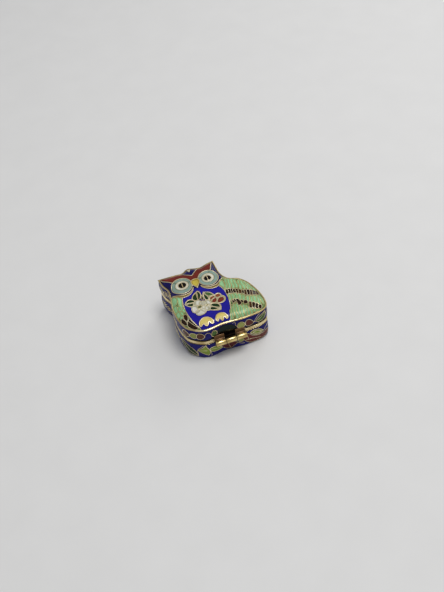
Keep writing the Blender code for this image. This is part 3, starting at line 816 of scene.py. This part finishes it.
# What the camera sees between the left haunch and the wing, then a spray every 11 mm or so behind
lid_wall_cells = drawn([
    ("cocoa", [(33.4, 16.9, 0), (34.6, 18.9), (36.4, 19.3), (38, 18.3), (38.5, 17), (37.6, 15.8),
        (35.8, 15.2), (34.4, 15.7)]),
    ("pistachio", [(38.4, 17.2, 0), (39.5, 19), (41.2, 19.4), (42.2, 18.8), (42.4, 17), (41.3, 15.7),
        (39.6, 15.8)]),
    ("cocoa", [(42.2, 17.2), (42.6, 18.9), (44, 19.8), (45.6, 19.2), (46.5, 17.6, 0), (45.4, 16),
        (43.8, 15.3), (42.6, 15.8)]),
    ("fern", [(50, 16.6), (50, 18.2), (50.9, 19.9, 0), (52.6, 19), (53, 17.4), (52.2, 16.2),
        (51.2, 15.1, 0)]),
    # Painted shade over the hinge: a near-black strip above it, and dark green leaves beside it without wires
    ("jet", [(49.4, 13.2), (49.9, 15.4), (53.4, 16.6), (57, 16.8), (62, 16.2), (66, 14.8), (70.4, 14.4),
        (72, 13.2)]),
    ("painted_shade_green", [(53, 18, 0), (55, 19.9), (58, 20.3), (60.8, 19.4), (62.6, 17.6), (63, 16.2, 0),
        (60.4, 15.6), (57.4, 15.9), (54.8, 16.6)]),
    ("pistachio", [(63.5, 17.2), (64.1, 18.8), (65.5, 19.4), (66.9, 18.7), (67.5, 17.2), (66.9, 15.7),
        (65.4, 15), (64, 15.7)]),
    ("brick", [(67.7, 17.2), (68.2, 18.9), (69.5, 19.6), (70.9, 18.5), (72.2, 16.4, 0), (71.2, 15),
        (69.7, 14.6), (68.2, 15.4)]),
    ("fern", [(73.1, 16.3, 0), (74.3, 18), (76, 19.1), (79.2, 20.2, 0), (79, 17.6), (78, 15.7),
        (76.2, 14.9), (74.4, 15.2)]),
])
lid_wall_threads = [open_path(knots) for knots in (
    [(46.5, 18.4), (47.4, 19.6), (48.8, 19.4), (49.6, 18.1), (50, 16.6), (51, 15.2)],
    [(61.4, 20.2), (62.2, 20.4), (62.8, 19.4), (62.6, 18.2), (63.4, 17.3)],
    [(72.2, 16.5), (72.8, 16.2), (73.4, 16.4)],
    [(72.4, 16.6), (73.4, 18.4), (74.6, 19.8), (75.8, 20.6)],
    [(73.6, 16.4), (75.8, 17.2), (78.9, 19.9)],
    [(79.2, 18), (80.2, 18.9), (81.6, 18.9), (82.4, 18), (82.2, 16.9)],
)]
SPRAYS_BEHIND = [7.4, 21.4, 90.5, 104.9, 119.3, 134.6, 150.3]


def add_sprays(cells, threads, up, petals, leaves, size, flips):
    """Adds a spray at each place behind, with petals, leaves and turns by turns."""
    for index, along in enumerate(SPRAYS_BEHIND):
        turn = index % 2
        more_cells, more_threads = spray(along, up, petals[turn], leaves[turn], size, flips[turn])
        cells += more_cells
        threads += more_threads


add_sprays(lid_wall_cells, lid_wall_threads, 17.5, ("maroon", "cocoa"), ("fern", "bottle"), 0.88, (1, -1))
MARGIN_TOP, WALL_SPACING = 14.35, 0.45
# The cells painted as shade above the hinge have no wires
WALL_WIDTHS = {"rest": 0.32, "thread": 0.24, "straw": 0.24, "painted_shade_green": 0, "jet": 0}
WALL_WIDTHS |= {"maroon": 0.2, "brick": 0.24, "bottle": 0.3}
lid_wall_edge = strip_edge(MARGIN_TOP, LID_SHOULDER + 0.2)
lid_wall = enamel_sheet(
    "lid_wall", lid_wall_edge, lid_wall_cells, "navy", wall_enamels, on_lid_wall, WALL_SPACING
)
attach(lid_wall, "lid")
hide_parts("lid_shell")
lid_wall_runs = seen_runs(lid_wall_edge, lid_wall_cells, lid_wall_threads, WALL_WIDTHS)
lid_wall_wires = wire_net("lid_wall_wires", lid_wall_runs, on_lid_wall, WIRE_HEIGHT, gilt_wire)
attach(lid_wall_wires, "lid")

# ---- Lid edges and lining: a rounded gilt edge round the top, a bare gilt lip at the mouth, and pale blue
# counter-enamel inside, which keeps the copper from warping in the fire.


def outline_rings(section):
    """The outline in three dimensions, as one closed ring for each (inset, height) of a section."""
    count = BODY_POINTS + CROWN_POINTS
    return [np.column_stack([owl_ring(inset), np.full(count, height)]) for inset, height in section]


def skin(name, rings, materials, closed=False, cap=False):
    """Quads between rings of the same count, and where cap is true, a fan over the last ring."""
    count = len(rings[0])
    points = np.concatenate(rings)
    last = len(rings) if closed else len(rings) - 1
    ring, turn = np.arange(last)[:, None] * count, np.arange(count)[None]
    upper = (ring + count) % (len(rings) * count)
    following = (turn + 1) % count
    faces = np.stack([ring + turn, ring + following, upper + following, upper + turn], -1)
    faces = faces.reshape(-1, 4).tolist()
    if cap:
        points = np.concatenate([points, rings[-1].mean(0)[None]])
        base = (len(rings) - 1) * count
        faces += [(base + i, base + (i + 1) % count, len(points) - 1) for i in range(count)]
    return linked_object(name, points, faces, materials)


def rounded(inset, height, half_width, half_height, power=2.0, count=24):
    """A superellipse section about a point: |x/a|^power + |y/b|^power = 1, clockwise, so it faces out."""
    across, along = squared_circle(-np.linspace(0, 2 * np.pi, count, endpoint=False), power)
    return np.column_stack([inset + across * half_width, height + along * half_height])


def shrunk(ring, shares, heights):
    """Copies of a plan ring drawn towards the dome's centre by each share, at each height."""
    return [
        np.column_stack([DOME_CENTRE + (ring - DOME_CENTRE) * share, np.full(len(ring), height)])
        for share, height in zip(shares, heights)
    ]


# The edge is broad in front. Its colour is painted shade: plain gilt in front, a darker copy at the sides,
# and a darker one still at the crown
gilt_edge = gilt_brass("gilt_edge", "#EEDCAA", "#B2975C", 0.24)
side_edge_painted_shade = gilt_brass("side_edge_painted_shade", "#CBB681", "#8F7B4A", 0.32)
crown_edge_painted_shade = gilt_brass("crown_edge_painted_shade", "#94804F", "#5C4C2C", 0.4)
EDGE_HALF_WIDTH, EDGE_SWELL, EDGE_HALF_HEIGHT, EDGE_HEIGHT = 0.4, 0.2, 0.44, 21.72
FRONT_MIDDLE, FRONT_REACH = 53.0, 11.0
round_outline = ring_length[:-1]
half_widths = EDGE_HALF_WIDTH + EDGE_SWELL * np.exp(-(((round_outline - FRONT_MIDDLE) / FRONT_REACH) ** 4))
level = np.ones(len(round_outline))
edge_rings = [
    np.column_stack([on_outline(round_outline, half_widths * (1 + across)), (EDGE_HEIGHT + rise) * level])
    for across, rise in rounded(0, 0, 1, EDGE_HALF_HEIGHT, 2.3)
]
lid_edge = skin("lid_edge", edge_rings, [side_edge_painted_shade, gilt_edge, crown_edge_painted_shade], closed=True)
RIGHT_EAR = ring_length[BODY_POINTS]
# Slots as painted shade: 1 plain gilt in front, 0 darker at the sides, 2 darkest at the crown
edge_shade_slots = np.where(abs(round_outline - FRONT_MIDDLE) < FRONT_REACH, 1, np.where(round_outline > RIGHT_EAR, 2, 0))
lid_edge.data.polygons.foreach_set("material_index", np.tile(edge_shade_slots, len(edge_rings)).astype(np.int32))
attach(lid_edge, "lid")
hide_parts("lid_shell")
LIP, LIP_POWER, LIP_CORNERS = 0.35, 5.0, 32
INNER = BELLY + WALL
middle, half = (EDGE_INSET + INNER) / 2 + 0.1, (INNER - EDGE_INSET) / 2 - 0.08
lip = rounded(middle, LID_BOTTOM + LIP / 2, half, LIP / 2, LIP_POWER, LIP_CORNERS)
lid_lip = skin("lid_lip", outline_rings(lip), [gilt_edge], closed=True)
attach(lid_lip, "lid")

# Near-black copper, painted shade: the strip at the foot of the lid's wall, the band behind the knuckles, and
# the middle knuckle's plate and ends
painted_shade_dark = gilt_brass("painted_shade_dark", "#2B211B", "#17120F", 0.5)
# The lid's wall ends in a shallow recessed strip in near-black, painted shade over the gap above the band
margin = [
    (EDGE_INSET + 0.3, LID_BOTTOM), (EDGE_INSET, LID_BOTTOM + 0.1), (EDGE_INSET, 13.95), (0.5, 14.2),
    (0.3, MARGIN_TOP), (0.2, MARGIN_TOP + 0.1),
]
lid_margin = skin("lid_margin", outline_rings(margin), [painted_shade_dark])
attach(lid_margin, "lid")

counter_enamel = vitreous_enamel("counter_enamel", "#5FA3B8", "#3F7F96", 0.22)
CEILING, CORNER = 20.95, 0.5
CEILING_RISE, CEILING_STEEPNESS = 1.7, 6


def hollow_side(mouth, end, up):
    """Section of a hollow's wall from its mouth to its end, up or down, with a rounded corner at the end."""
    wall = [(INNER, height) for height in np.linspace(mouth, end - up * CORNER, 12)]
    turns = np.linspace(0, np.pi / 2, 6)[1:]
    return wall + [(INNER + CORNER * (1 - math.cos(a)), end - up * CORNER * (1 - math.sin(a))) for a in turns]


rings = outline_rings(hollow_side(LID_BOTTOM + LIP / 2, CEILING, 1))
shares = np.array([0.96, 0.9, 0.8, 0.6, 0.4, 0.2, 0.05])
heights = CEILING + CEILING_RISE * (1 - np.exp(-CEILING_STEEPNESS * (1 - shares)))
rings += shrunk(owl_ring(INNER + CORNER), shares, heights)
lid_lining = skin("lid_lining", [ring[::-1] for ring in rings], [counter_enamel], cap=True)
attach(lid_lining, "lid")

# ---- Base: an owl-shaped copper cup, enamelled outside like the lid's wall and counter-enamelled inside and
# below. Its mouth is ground flat and gilt.

FOOT_RADIUS, FOOT_DEPTH, FLOOR = 0.9, 0.98, 1.4


def base_inset(height):
    """How far the base stands back at a height: a quarter round at the foot, then a slight swell."""
    share = np.clip((height - FOOT_RADIUS) / (BASE_HEIGHT - FOOT_RADIUS), 0, 1)
    low = np.clip(1 - height / FOOT_RADIUS, 0, 1)
    return BELLY * (2 * share - 1) ** 2 + FOOT_RADIUS * (1 - np.sqrt(1 - low**2)) * FOOT_DEPTH


def on_base_wall(points):
    """Layout points on the base's wall."""
    return np.column_stack([on_outline(points[:, 0], base_inset(points[:, 1])), points[:, 1]])


base_wall_cells = drawn([
    ("bottle", [(29.4, 7.4, 0), (32.4, 8.4), (35.8, 8.2), (38.8, 6.9), (40.8, 4.4), (41.2, 1.3, 0),
        (38, 1.2), (34.4, 2.4), (31.4, 4.6)]),
    ("lime", [(46.1, 10.3, 0), (44.8, 8.8), (43.4, 7.6), (41.6, 6.2, 0), (43, 5), (45, 3.6),
        (46.9, 2.2, 0), (47.8, 3.8), (47.9, 5.8), (47.2, 7.6), (46.5, 8.8)]),
    ("lime", [(48.1, 7.6, 0), (50, 7.8), (51.8, 7.5), (53.4, 6.2), (55, 4.6, 0), (52.8, 3.8), (50.6, 4),
        (49, 4.7), (48.2, 5.8)]),
    ("maroon", [(52.4, 7.7, 0), (55, 7.3), (57.6, 7.8), (60.2, 6.9), (62.9, 4.6, 0), (61.6, 3.5),
        (60.4, 2.6), (59.4, 1.4), (57.4, 1.9), (55.8, 3.2), (54.4, 5.2)]),
    ("pistachio", [(58.8, 7.9), (59.6, 9.2), (61.8, 9.4), (62.9, 8), (62.6, 6.1), (61.2, 6.2),
        (60.2, 7.2)]),
    ("pistachio", [(63.4, 8.4), (65.2, 8.4), (66.4, 6.6), (65.8, 4.9), (64.4, 4.3), (63.4, 5.4)]),
    ("brick", [(66, 9), (67.8, 9.2), (69.4, 8.2), (70.8, 6.4), (73.2, 5.2), (76.4, 5), (79.2, 5.8),
        (81.2, 4.6), (80.2, 2.6), (77.4, 1.3), (73.4, 0.8), (69.6, 1.2), (67.6, 3), (66.2, 5),
        (65.6, 7.2)]),
    ("pistachio", [(69.8, 8.8, 0), (71.6, 9.7), (73.8, 9.5), (75.8, 8.3), (77.2, 6.4, 0), (74.8, 5.6),
        (72.6, 6), (71, 7.2)]),
    ("lime", [(71.2, 8.4, 0), (73, 8.6), (74.8, 7.8), (76, 6.8, 0), (74.2, 6.5), (72.4, 7.1)]),
])
base_wall_threads = [open_path(knots) for knots in (
    [(29.8, 7.3), (33.4, 6.4), (37.4, 4.2), (41, 1.5)],
    [(41.4, 1.2), (41.6, 3), (41.4, 4.9), (41.9, 6.9), (43.4, 8.6), (45.2, 10.2)],
    [(48.3, 1.2), (48.5, 2.8), (48.3, 5.4)],
    [(42.4, 6), (44.2, 6.2), (46.4, 6)],
    [(48.6, 6.6), (50.8, 6), (54.4, 4.9)],
    [(58.6, 7.2), (58.2, 4.8), (59, 1.9)],
    [(62.9, 4.6), (64.2, 3.2), (66.4, 2.4)],
    [(67.2, 4.6), (68.6, 4.2), (71.2, 3.8), (75.4, 2.4)],
    [(67.4, 8.6), (68.2, 6.6), (68.6, 4.3)],
    [(77.2, 6.4), (78.6, 8), (80.4, 8.6), (81.6, 7.4), (80.8, 6.4)],
)]
add_sprays(base_wall_cells, base_wall_threads, 5.7, ("brick", "maroon"), ("bottle", "lime"), 0.92, (-1, 1))
WALL_FOOT = 0.02
base_wall_edge = strip_edge(WALL_FOOT, BASE_HEIGHT)
base_wall = enamel_sheet(
    "base_wall", base_wall_edge, base_wall_cells, "navy", wall_enamels, on_base_wall, WALL_SPACING
)
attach(base_wall, "base")
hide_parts("base_shell")
base_wall_runs = seen_runs(base_wall_edge, base_wall_cells, base_wall_threads, WALL_WIDTHS)
base_wall_wires = wire_net("base_wall_wires", base_wall_runs, on_base_wall, WIRE_HEIGHT, gilt_wire)
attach(base_wall_wires, "base")

lip = rounded(BELLY + WALL / 2 + 0.03, BASE_HEIGHT - LIP / 2, WALL / 2, LIP / 2, LIP_POWER, LIP_CORNERS)
base_lip = skin("base_lip", outline_rings(lip), [gilt_edge], closed=True)
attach(base_lip, "base")
rings = outline_rings(hollow_side(BASE_HEIGHT - LIP / 2, FLOOR, -1))
shares = np.linspace(0.95, 0.05, 12)
rings += shrunk(owl_ring(INNER + CORNER), shares, np.full(len(shares), FLOOR))
base_lining = skin("base_lining", rings, [counter_enamel], cap=True)
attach(base_lining, "base")
SOLE_EDGE, SOLE = 0.02, 0.06
SOLE_INSET = base_inset(SOLE_EDGE) - 0.03
rings = outline_rings([(SOLE_INSET, SOLE_EDGE)])
rings += shrunk(owl_ring(SOLE_INSET), shares, np.full(len(shares), SOLE))
base_sole = skin("base_sole", [ring[::-1] for ring in rings], [counter_enamel], cap=True)
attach(base_sole, "base")

# ---- Band: a plain gilt collar soldered inside the mouth of the base, seen as a bright line between the
# halves. Behind the knuckles it is painted near-black, as painted shade.

BAND_POWER, BAND_CORNERS = 6.0, 40
middle, half = (BAND_BOTTOM + BAND_TOP) / 2, (BAND_TOP - BAND_BOTTOM) / 2
section = rounded(BELLY + WALL / 2, middle, WALL / 2, half, BAND_POWER, BAND_CORNERS)
band = skin("band", outline_rings(section), [gilt_edge, painted_shade_dark], closed=True)
SHADE_FROM, SHADE_TO = 52.5, 66.5
# The stretch behind the knuckles is painted near-black, as painted shade
band_in_shade = (round_outline > SHADE_FROM) & (round_outline < SHADE_TO)
band.data.polygons.foreach_set("material_index", np.tile(band_in_shade, BAND_CORNERS).astype(np.int32))
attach(band, "base")
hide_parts("base_band")

# ---- Hinge: three knuckles rolled from thin sheet on a wire pin. The outer two rise in plates up the lid's
# wall, the middle one has its plate on the band. The rolls are gilt, the outer plates browned from soldering.
# The middle plate is near-black and the knuckles' end faces take their plate's colour, as painted shade.

HINGE_X, HINGE_LENGTH, PLATE = 1.0, 16.2, 0.5
KNUCKLE_RADIUS, PIN_RADIUS, PIN_OVERHANG = 1.45, 0.45, 0.15
HINGE_FRONT = -21.29
AXIS_Y, AXIS_Z = HINGE_FRONT - GAP - KNUCKLE_RADIUS, LID_BOTTOM - 2.1
LID_PLATE_TOP = LID_BOTTOM + 1.9
ROLL_STEPS, SOFT_CORNER, SOFT_END, SHARP = 40, 0.12, 0.09, math.radians(40)
gilt_roll = gilt_brass("gilt_roll", "#E6CE8C", "#9A7A3E", 0.26)
browned_copper_and_gap_shade = gilt_brass("browned_copper_and_gap_shade", "#7A5E45", "#463326", 0.42)


def knuckle_section(web_low, plate_high):
    """Side view of a roll and its plate, as (y, z): round the roll from the web's top, then up the plate."""
    top, low = web_low + PLATE - AXIS_Z, web_low - AXIS_Z
    start = math.asin(min(top / KNUCKLE_RADIUS, 1.0))
    end = math.asin(low / KNUCKLE_RADIUS) + 2 * math.pi
    turn = np.linspace(start, end, ROLL_STEPS)
    roll = np.column_stack([AXIS_Y + KNUCKLE_RADIUS * np.cos(turn), AXIS_Z + KNUCKLE_RADIUS * np.sin(turn)])
    back, front, web_top = HINGE_FRONT + PLATE, HINGE_FRONT, web_low + PLATE
    below = plate_high - SOFT_CORNER
    plate = [
        (back, web_low), (back, below), (back - SOFT_CORNER, plate_high), (front + SOFT_CORNER, plate_high),
        (front, below), (front, web_top + 0.25), (front - 0.1, web_top + 0.06), (front - 0.3, web_top),
        (front - 0.95, web_top),
    ]
    return np.concatenate([roll, plate])


def knuckle(name, place, web_low, plate_high, materials):
    """The section carried along X with softened ends, its roll and its plate in one material each."""
    width = (HINGE_LENGTH - 2 * GAP) / 3
    left = HINGE_X - HINGE_LENGTH / 2 + place * (width + GAP)
    section = knuckle_section(web_low, plate_high)
    stations = [(left, SOFT_END), (left + SOFT_END * 0.4, SOFT_END * 0.35), (left + SOFT_END, 0.0)]
    stations += [(2 * left + width - x, inset) for x, inset in stations[::-1]]
    count = len(section)
    flats = [(np.full(count, x), moved_inward(section, inset, ring=True)) for x, inset in stations]
    points = np.concatenate([np.column_stack(flat) for flat in flats])
    row, turn = np.arange(len(stations) - 1)[:, None] * count, np.arange(count)[None]
    following = (turn + 1) % count
    upper = row + count
    faces = np.stack([row + following, upper + following, upper + turn, row + turn], -1).reshape(-1, 4)
    side = faces[:, 3] % count
    slots = np.where((side < ROLL_STEPS) | (side == count - 1), 0, 1)
    last = len(stations) * count - 1
    faces = faces.tolist() + [list(range(count)), list(range(last, last - count, -1))]
    # The two end faces take the plate's dark colour, slot 1, as painted shade in the gaps between the
    # knuckles
    made = linked_object(name, points, faces, materials, [*slots, 1, 1])
    made.data.set_sharp_from_angle(angle=SHARP)
    return made


lid_web = AXIS_Z + KNUCKLE_RADIUS - PLATE
for name, place in (("hinge_roll_left", 0), ("hinge_roll_right", 2)):
    roll = knuckle(name, place, lid_web, LID_PLATE_TOP, [gilt_roll, browned_copper_and_gap_shade])
    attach(roll, "lid")
    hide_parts("hinge_knuckle_" + name.split("_")[-1])
# The middle knuckle's plate in near-black, as painted shade above the middle knuckle
roll = knuckle("hinge_roll_middle", 1, AXIS_Z - PLATE / 2, BAND_TOP, [gilt_roll, painted_shade_dark])
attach(roll, "base")
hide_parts("hinge_knuckle_middle")

# The pin's end as (radius, how far in): almost closed at its face, then rounded to the full wire
PIN_SIDES, PIN_END = 32, [(0.004, 0.02), (0.2, 0.02), (0.36, 0.06), (0.43, 0.12), (PIN_RADIUS, 0.2)]
half = HINGE_LENGTH / 2 + PIN_OVERHANG
profile = [(radius, -half + along) for radius, along in PIN_END]
profile += [(radius, half - along) for radius, along in PIN_END[::-1]]
turn = np.linspace(0, 2 * np.pi, PIN_SIDES, endpoint=False)
y, z = np.cos(turn), np.sin(turn)
rings = [
    np.column_stack([np.full(PIN_SIDES, HINGE_X + along), AXIS_Y + radius * y, AXIS_Z + radius * z])
    for radius, along in profile
]
hinge_wire = skin("hinge_wire", rings, [gilt_roll])
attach(hinge_wire, "base")
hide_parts("hinge_pin")
